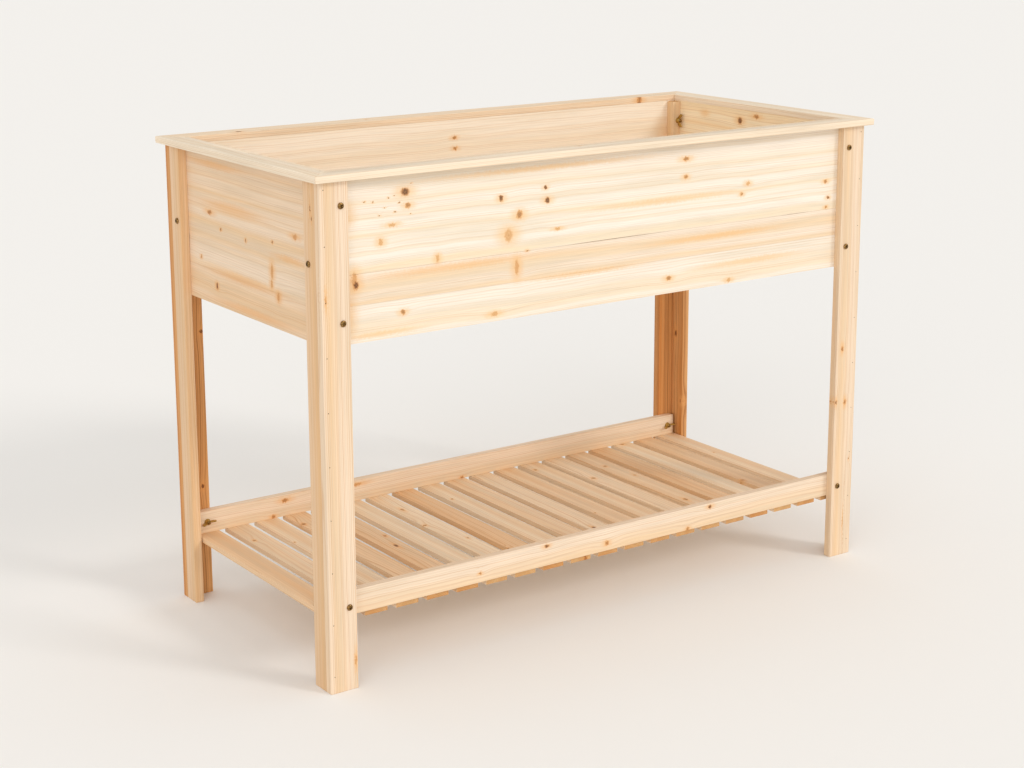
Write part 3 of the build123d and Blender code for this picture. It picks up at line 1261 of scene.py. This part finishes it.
@dataclass
class WingNuts(Fasteners):
    """Cast wing nuts, each run up to its washer."""

    bore: float = 3.1
    base_radius: float = 5.5
    crown_radius: float = 4.4
    hub_height: float = 7.0
    reach: float = 14.0
    height: float = 13.0
    plate: float = 2.0
    corner: float = 1.1           # millimetres that the wings' corners are rounded by
    casting_edge: float = 0.4

    def wing(self) -> Shape:
        """Make one wing.

        Returns:
            A rounded plate out along X.
        """
        shape = bmesh.new()
        root, shoulder, tip = self.bore + 0.6, self.hub_height - 0.8, self.height
        outline = [
            (root, 1.0), (9.0, 1.0), (self.reach, self.hub_height), (self.reach, tip - 1.4),
            (self.reach - 2.6, tip), (8.6, tip - 2.6), (self.crown_radius, shoulder), (root, shoulder),
        ]
        verts = [shape.verts.new((out * MM, -self.plate / 2 * MM, up * MM)) for out, up in outline]
        shape.faces.new(verts)
        rounded = [vert for vert in verts if vert.co.x > (self.crown_radius + 0.5) * MM]
        bmesh.ops.bevel(
            shape, geom=rounded, offset=self.corner * MM, offset_type="OFFSET", segments=3, profile=0.5,
            affect="VERTICES", clamp_overlap=True, material=-1,
        )
        grown = bmesh.ops.extrude_face_region(shape, geom=shape.faces[:])
        moved = [item for item in grown["geom"] if isinstance(item, bmesh.types.BMVert)]
        bmesh.ops.translate(shape, verts=moved, vec=(0, self.plate * MM, 0))
        bmesh.ops.recalc_face_normals(shape, faces=shape.faces)
        least = math.radians(60)
        outer = [
            edge for edge in shape.edges
            if edge.calc_face_angle(0.0) > least and abs(edge.verts[0].co.y - edge.verts[1].co.y) < WELD
        ]
        bmesh.ops.bevel(
            shape, geom=outer, offset=self.casting_edge * MM, offset_type="OFFSET", segments=2, profile=0.5,
            affect="EDGES", clamp_overlap=True, material=-1,
        )
        return shape

    def build(self, seats: list[Matrix]) -> bpy.types.Object:
        """Make the nuts.

        Args:
            seats: Where each meets its washer.

        Returns:
            The piece.
        """
        bore, base, crown, high = self.bore, self.base_radius, self.crown_radius, self.hub_height
        outline = [
            (bore, 0.5), (bore + 0.5, 0), (base - 0.3, 0), (base, 0.35), (base - 0.1, 1.4),
            (crown + 0.15, high - 0.9), (crown - 0.5, high), (bore + 0.4, high), (bore, high - 0.4),
        ]
        nut = turned(outline, closed=True, facets=28)
        for half_turn in (0.0, math.pi):
            wing = self.wing()
            bmesh.ops.rotate(wing, verts=wing.verts, cent=(0, 0, 0), matrix=Matrix.Rotation(half_turn, 3, "Z"))
            nut = joined(nut, wing, "UNION")
        return self.place(nut, seats)


@dataclass
class CornerLegs:
    """Four L-section legs, each a face board over the edge of a side board."""

    sapwood: PlanedSpruce
    heartwood_and_shade: PlanedSpruce
    pith: tuple[float, float] = (34.0, 26.0)
    # The rear legs' boards get darker, warmer wood: partly the wood's colour, partly painted shade of the box
    # above them
    heartwood_boards: tuple[str, ...] = (
        "leg_rear_left_face_board", "leg_rear_right_face_board", "leg_rear_right_side_board",
    )

    def knots(self) -> dict[str, tuple[Knot, ...]]:
        """List the legs' knots.

        Returns:
            The knots of each board that has some, placed up the leg and across it.
        """
        dead, live, pale = KnotKind.DEAD, KnotKind.LIVE, KnotKind.PALE
        return {
            "leg_front_right_face_board": (
                *knots_of(live, (429, 562, 6, 4), (319, 574, 6, 4.5)),
                *knots_of(dead, (322, 550, 5, 3), (200, 590, 2.5, 1.2)), *knots_of(pale, (70, 579, 14, 1.0)),
            ),
            "leg_front_left_face_board": knots_of(pale, (51, -551, 10, 3), (676, -592, 9, 2)),
            "leg_rear_left_face_board": knots_of(dead, (213, -560, 5, 4), (513, -551, 5, 4)),
            "leg_rear_right_side_board": knots_of(dead, (353, 252, 8, 5)) + knots_of(live, (202, 233, 5, 5)),
            "leg_rear_left_side_board": knots_of(dead, (769, 277, 4, 2)),
            "leg_front_left_side_board": knots_of(dead, (823, -252, 7, 1.4), (806, -256, 4, 1.2)),
        }

    def build(self) -> None:
        """Make the eight boards."""
        knots = self.knots()
        # Side boards turn their outer faces from the key and the rear legs stand under the box: their higher
        # warmth is painted shade
        warmths_with_painted_shade = {"front": {"face": 0.28, "side": 0.66}, "rear": {"face": 0.6, "side": 0.6}}
        for end in ("front", "rear"):
            for side in ("left", "right"):
                for part, warmth in warmths_with_painted_shade[end].items():
                    node = f"leg_{end}_{side}_{part}_board"
                    finish = self.heartwood_and_shade if node in self.heartwood_boards else self.sapwood
                    board = Board(
                        node, Axis.Z, finish, "leg_wood", warmth, pith=self.pith, knots=knots.get(node, ()),
                    )
                    board.build()


@dataclass
class Rim:
    """Four flat mitred boards round the top."""

    finish: PlanedSpruce
    pith: tuple[float, float] = (30.0, 70.0)
    ease: float = 0.9
    hole_chamfer: float = 0.9

    def build(self) -> None:
        """Make the four boards."""
        pale = KnotKind.PALE
        rear = (
            *knots_of(KnotKind.DEAD, (-463, 259, 7, 5)), *knots_of(KnotKind.LIVE, (472, 252, 7, 5)),
            *knots_of(pale, (-180, 276, 3, 3)),
        )
        front = knots_of(pale, (-70, -262, 5, 2), (330, -280, 6, 2))
        for node, along, warmth, knots in (
            ("rim_front", Axis.X, 0.05, front), ("rim_rear", Axis.X, 0.28, rear), ("rim_left", Axis.Y, 0.1, ()),
            ("rim_right", Axis.Y, 0.15, ()),
        ):
            board = Board(
                node, along, self.finish, "rim_wood", warmth, self.ease, self.hole_chamfer, self.pith, knots,
            )
            board.build()


@dataclass
class BoxWalls:
    """Four glued walls round the soil. Knots are placed along a wall and up it."""

    finish: PlanedSpruce
    # A paler copy of the panel wood for the rear wall: painted light, where the front light falls into the box
    # onto it
    pale: PlanedSpruce
    # A brighter, warmer copy of the panel wood for the right wall: painted light and warm bounce on its inner
    # face, which the key does not reach
    tawny_painted_light: PlanedSpruce
    seen_ease: float = 1.2        # millimetres off the arrises of the front and left walls

    def front_knots(self) -> tuple[Knot, ...]:
        """List the marks in the front wall.

        Returns:
            Its knots, a patch of small dark speckles, and long resin bands, the top one partly painted shade.
        """
        speckles = (
            (-508, 826), (-492, 824), (-462, 828), (-450, 831), (-418, 847), (-479, 800), (-450, 803),
            (-420, 797), (-442, 818), (-470, 812),
        )
        return (
            *knots_of(
                KnotKind.DEAD, (-430, 835, 9, 8), (-526, 690, 6, 8), (-239, 805, 5, 6), (-146, 815, 3.5, 4),
                (-142, 792, 6, 6), (525, 731, 4, 4), *((along, up, 1.5, 1.3) for along, up in speckles),
            ),
            *knots_of(
                KnotKind.LIVE, (-425, 812, 6, 5), (-201, 773, 7, 9), (-437, 634, 5, 5), (-185, 708, 2.5, 2.5),
                (168, 837, 8, 5), (168, 804, 5, 5), (304, 759, 4, 4), (517, 763, 5, 4), (520, 713, 3.5, 3.5),
                (131, 621, 6, 5),
            ),
            *knots_of(
                KnotKind.PALE, (-456, 783, 8, 3.5), (-478, 756, 5, 7), (-529, 698, 6, 18), (-368, 717, 4, 8),
                (-224, 740, 10, 14), (-207, 682, 5, 17), (-254, 606, 8, 5), (-120, 740, 7, 3), (319, 778, 5, 5),
                (276, 600, 6, 4),
            ),
            # The band at 850 up, just under the rim, is partly amber wood and partly painted shade of the rim
            # over the wall
            *knots_of(
                KnotKind.RESIN, (-548, 806, 34, 34), (-150, 850, 360, 7), (-330, 699, 250, 10),
                (-545, 640, 30, 50), (-480, 603, 120, 7), (120, 765, 260, 8), (250, 688, 240, 8),
                (330, 632, 200, 9), (-60, 655, 190, 6),
            ),
        )

    def left_knots(self) -> tuple[Knot, ...]:
        """List the marks in the left wall.

        Returns:
            Its knots and resin bands.
        """
        return (
            *knots_of(
                KnotKind.DEAD, (101, 734, 2.6, 3.2), (7, 729, 2.4, 4.5), (-90, 741, 2.5, 2.8), (123, 629, 4, 7),
            ),
            *knots_of(KnotKind.LIVE, (143, 759, 10, 4.5), (183, 672, 3, 4)),
            *knots_of(
                KnotKind.PALE, (-86, 690, 5, 16), (-84, 668, 4, 9), (-107, 650, 5, 10), (-170, 762, 9, 5),
            ),
            *knots_of(
                KnotKind.RESIN, (20, 656, 210, 13), (60, 775, 170, 16), (-10, 604, 230, 11), (-150, 720, 90, 9),
                (120, 845, 150, 10),
            ),
        )

    def build(self) -> None:
        """Make the four walls."""
        dead, live, resin = KnotKind.DEAD, KnotKind.LIVE, KnotKind.RESIN
        # The amber patch at 560 along, 790 up is painted shadow cast by the right wall and rim into the rear
        # wall's right corner
        rear = knots_of(live, (5, 832, 5, 4), (7, 811, 5, 4)) + knots_of(resin, (560, 790, 60, 70))
        right = (
            *knots_of(dead, (40, 845, 7, 8)), *knots_of(live, (-10, 858, 9, 5)),
            *knots_of(resin, (150, 850, 24, 12)),
        )
        slot, ease = "wall_wood", self.seen_ease
        for wall in (
            GluedWall(
                "wall_front", Axis.X, self.finish, slot, 0.05, ease, pith=(190.0, 62.0),
                knots=self.front_knots(), open_joints=(OpenJoint(-110, 125, 1.3), OpenJoint(400, 485, 1.0)),
            ),
            # The left wall's higher warmth is partly painted shade on its outer face, which turns from the key
            GluedWall(
                "wall_left", Axis.Y, self.finish, slot, 0.25, ease, pith=(170.0, 44.0), knots=self.left_knots(),
                stave_tones=(0.15, 0.0, 0.05),
            ),
            GluedWall(
                "wall_rear", Axis.X, self.pale, slot, pith=(-180.0, 60.0), knots=rear,
                stave_tones=(0.0, 0.12, 0.04),
            ),
            GluedWall("wall_right", Axis.Y, self.tawny_painted_light, slot, 0.05, pith=(150.0, 34.0), knots=right),
        ):
            wall.build()


@dataclass
class BoxInsides:
    """Cleats in the corners, ledgers under the floor and the floor's cross boards."""

    finish: PlanedSpruce

    def build(self) -> None:
        """Make the fourteen pieces."""
        corners = [f"corner_cleat_{end}_{side}" for end in ("front", "rear") for side in ("left", "right")]
        ledgers = ["floor_ledger_front", "floor_ledger_rear"]
        floor = sorted(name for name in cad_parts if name.startswith("floor_board_"))
        for nodes, along, slot, warmth, pith in (
            (corners, Axis.Z, "cleat_wood", 0.3, (22.0, 30.0)),
            (ledgers, Axis.X, "ledger_wood", 0.3, (20.0, 36.0)),
            (floor, Axis.Y, "floor_wood", 0.15, (15.0, 40.0)),
        ):
            shared = self.finish.build()
            for node in nodes:
                Board(node, along, self.finish, slot, warmth, pith=pith).build(shared)


@dataclass
class Shelf:
    """Two rails with a row of slats under them."""

    rail: PlanedSpruce
    slat: PlanedSpruce
    rail_pith: tuple[float, float] = (26.0, 40.0)
    slat_pith: tuple[float, float] = (18.0, 30.0)
    slat_ease: float = 0.7
    slat_warmth: tuple[float, float] = (0.08, 0.45)

    def build(self) -> None:
        """Make the rails and the slats."""
        dead, live, pale = KnotKind.DEAD, KnotKind.LIVE, KnotKind.PALE
        front = knots_of(live, (-287, 143, 3, 3)) + knots_of(dead, (-143, 163, 5, 4), (242, 162, 5, 4))
        rear = knots_of(live, (-395, 158, 8, 5)) + knots_of(pale, (-235, 160, 14, 4))
        # The rear rail's higher warmth is painted shade: its seen face lies deeper under the box
        for node, warmth, knots in (("shelf_rail_front", 0.16, front), ("shelf_rail_rear", 0.3, rear)):
            Board(node, Axis.X, self.rail, "rail_wood", warmth, pith=self.rail_pith, knots=knots).build()
        slat_knots = {
            "shelf_slat_05": knots_of(dead, (-19, -308, 9, 4)) + knots_of(live, (40, -297, 5, 3)),
            "shelf_slat_15": knots_of(live, (-122, 303, 8, 5)) + knots_of(pale, (60, 318, 5, 3)),
            "shelf_slat_07": knots_of(live, (150, -190, 8, 4)) + knots_of(dead, (-60, -176, 4, 3)),
            "shelf_slat_11": knots_of(dead, (-150, 52, 7, 4)),
        }
        slat_wood = self.slat.build()
        for node in sorted(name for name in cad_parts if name.startswith("shelf_slat_")):
            warmth = random.Random(node + "warmth").uniform(*self.slat_warmth)
            board = Board(
                node, Axis.Y, self.slat, "slat_wood", warmth, self.slat_ease, pith=self.slat_pith,
                knots=slat_knots.get(node, ()),
            )
            board.build(None if node in slat_knots else slat_wood)


@dataclass
class Ironmongery:
    """Bolts with their washers and wing nuts, and the nails and screws."""

    washer_thickness: float = 1.2
    nut_stack: float = 11.0       # millimetres of bolt past the wood, for washer, nut and tip
    nut_slack: float = 7.0        # degrees each way that a nut stops short of upright
    shelf_height: float = 0.3     # metres. Nuts below this are the shelf's
    shelf_turn: float = 102.0     # degrees that the shelf's nuts are askew, where there is room round them

    def build(self) -> None:
        """Make every fastener."""
        zinc = PlatedSteel("yellow_zinc_bolt", "#B08A54", "#4A361F", 0.28).build()
        nut_zinc = PlatedSteel("yellow_zinc_casting", "#D2B066", "#97783A", 0.38).build()
        washer_zinc = PlatedSteel("yellow_zinc_stamping", "#D0B878", "#9A8048", 0.36).build()
        bright = PlatedSteel("bright_zinc_screw", "#C9CCCE", "#8E9295", 0.3).build()
        wire = PlatedSteel("dull_drawn_wire", "#5B544C", "#3B352E", 0.5).build()
        far_seats = []
        for node, name in (("wall_bolts", "pan_head_wall_bolts"), ("rail_bolts", "pan_head_rail_bolts")):
            bolts = PanHeadBolts(node, name, "bolt_zinc", zinc)
            bolts.build()
            grip = Matrix.Translation((0, 0, (bolts.length() - bolts.head_height - self.nut_stack) * MM))
            far_seats += [seat @ grip for seat in bolts.seats()]
        Washers("washers", "stamped_washers", "washer_zinc", washer_zinc).build(far_seats)
        nuts = WingNuts("wing_nuts", "cast_wing_nuts", "nut_zinc", nut_zinc, slack_turn=self.nut_slack)
        nuts.build([self.nut_seat(seat) for seat in far_seats])
        for node, name, end, radius in (
            ("leg_brads", "wire_leg_brads", HeadEnd.OUTSIDE, 0.9),
            ("rim_nails", "wire_rim_nails", HeadEnd.TOP, 1.2),
            ("slat_nails", "wire_slat_nails", HeadEnd.UNDERSIDE, 1.0),
        ):
            Nails(node, name, "nail_steel", wire, end, radius=radius).build()
        for node, end in (("floor_screws", HeadEnd.TOP), ("ledger_screws", HeadEnd.INSIDE)):
            WoodScrews(node, f"countersunk_{node}", "screw_zinc", bright, end).build()

    def nut_seat(self, seat: Matrix) -> Matrix:
        """Move out to a washer's far face, and turn a shelf nut's wings askew.

        Args:
            seat: Where the washer meets the wood.

        Returns:
            Where the nut meets the washer.
        """
        out = seat @ Matrix.Translation((0, 0, self.washer_thickness * MM))
        askew = self.shelf_turn if out.translation.z < self.shelf_height else 0.0
        return out @ Matrix.Rotation(math.radians(askew), 4, "Z")


@dataclass
class Studio:
    """Pale floor, even sky, a soft key from the front right, a wide fill from the left, and the camera."""

    floor_half_width: float = 60.0
    sky_colour: str = "#FBFAF8"
    sky_strength: float = 0.82
    key_from: tuple[float, float, float] = (0.7, -1.2, 0.78)
    fill_from: tuple[float, float, float] = (-0.9, -1.0, 0.5)
    sun_strength: float = 0.82
    camera_place: tuple[float, float, float] = (-2.0696, -2.9193, 1.3465)
    camera_heading: float = 34.92      # degrees from +Y towards +X
    camera_tilt: float = -12.68        # degrees above the level
    camera_roll: float = 0.18
    lens: float = 67.7                 # millimetres
    sensor: float = 36.0
    shift: float = -0.078              # share of the image's width, which lets the legs stand more upright

    def build(self) -> None:
        """Lay the floor, light it and set the camera."""
        self.lay_floor()
        self.light()
        self.set_camera()
        bpy.context.scene.view_settings.view_transform = "Standard"

    def lay_floor(self) -> None:
        """Lay the floor, which runs back past the horizon."""
        shape = bmesh.new()
        bmesh.ops.create_grid(shape, x_segments=2, y_segments=2, size=self.floor_half_width)
        mesh = loose_mesh(shape, "studio_floor")
        mesh.materials.append(PaintedFloor().build())
        shown("studio_floor", mesh)

    def light(self) -> None:
        """Light the planter from the sky and from two wide suns."""
        world = bpy.data.worlds.new("studio")
        bpy.context.scene.world = world
        world.use_nodes = True
        sky = world.node_tree.nodes["Background"]
        sky.inputs["Color"].default_value = linear(self.sky_colour)
        sky.inputs["Strength"].default_value = self.sky_strength
        self.add_sun("key", self.key_from, 14.0, "#FFFDFA")
        self.add_sun("fill", self.fill_from, 50.0, "#FEFEFF")

    def add_sun(self, name: str, source: tuple[float, float, float], spread: float, colour: str) -> None:
        """Add a distant light.

        Args:
            name: Its name.
            source: The direction that it shines from.
            spread: How wide it looks, in degrees.
            colour: Its colour.
        """
        lamp = bpy.data.lights.new(name, "SUN")
        lamp.energy = self.sun_strength
        lamp.angle = math.radians(spread)
        lamp.color = linear(colour)[:3]
        shown(name, lamp).rotation_euler = Vector(source).to_track_quat("Z", "Y").to_euler()

    def set_camera(self) -> None:
        """Stand the camera at the height of a viewer's chest, off the planter's front left corner."""
        lens = bpy.data.cameras.new("camera")
        lens.lens = self.lens
        lens.sensor_width = self.sensor
        lens.shift_y = self.shift
        heading, tilt = math.radians(self.camera_heading), math.radians(self.camera_tilt)
        look = Vector((math.sin(heading) * math.cos(tilt), math.cos(heading) * math.cos(tilt), math.sin(tilt)))
        roll = Matrix.Rotation(math.radians(-self.camera_roll), 4, "Z")
        camera = shown("camera", lens)
        camera.matrix_world = (
            Matrix.Translation(self.camera_place) @ look.to_track_quat("-Z", "Y").to_matrix().to_4x4() @ roll
        )
        bpy.context.scene.camera = camera


def main() -> None:
    """Build the planter from the top down, then the studio round it."""
    logging.basicConfig(level=logging.INFO, format="%(message)s")
    Rim(PlanedSpruce("planed_spruce_rim", earlywood="#F6E9D4", honey="#EFD9B6", knot_share=0.0)).build()
    BoxWalls(
        PlanedSpruce("planed_spruce_panel", ring_depth=0.42, knot_share=0.0),
        # Rear wall: paler copy of the panel wood, as painted light falling into the box
        PlanedSpruce(
            "planed_spruce_panel_painted_light", earlywood="#FBF3E4", honey="#F7E5C8", sunken="#F2E6D0", ring_depth=0.45,
            knot_share=0.12,
        ),
        # Right wall: brighter, warmer copy of the panel wood, as painted light and warm bounce inside the box
        PlanedSpruce(
            "planed_spruce_panel_tawny_painted_light", earlywood="#FFF0D2", honey="#F8D39C", sunken="#F6DDB2", ring_depth=0.6,
            knot_share=0.0,
        ),
    ).build()
    CornerLegs(
        PlanedSpruce("planed_spruce_leg", ring_spacing=2.9, ring_depth=0.95, knot_share=0.0),
        # Rear legs' wood: darker and warmer, partly painted shade of the box above them
        PlanedSpruce(
            "planed_spruce_heartwood_and_painted_shade", earlywood="#EDC897", latewood="#9C6428", honey="#D49A58",
            sunken="#D9AF7E", ring_spacing=5.2, ring_depth=1.0, band_depth=0.95, knot_share=0.0,
        ),
    ).build()
    BoxInsides(PlanedSpruce("planed_spruce_inside", earlywood="#EFD9B8", knot_share=0.4)).build()
    Shelf(
        PlanedSpruce("planed_spruce"),
        PlanedSpruce(
            "planed_spruce_slat", earlywood="#F6E3C8", honey="#E6C193", latewood="#D2A46F", ring_depth=0.8,
            knot_share=0.4,
        ),
    ).build()
    Ironmongery().build()
    Studio().build()


if __name__ == "__main__":
    main()
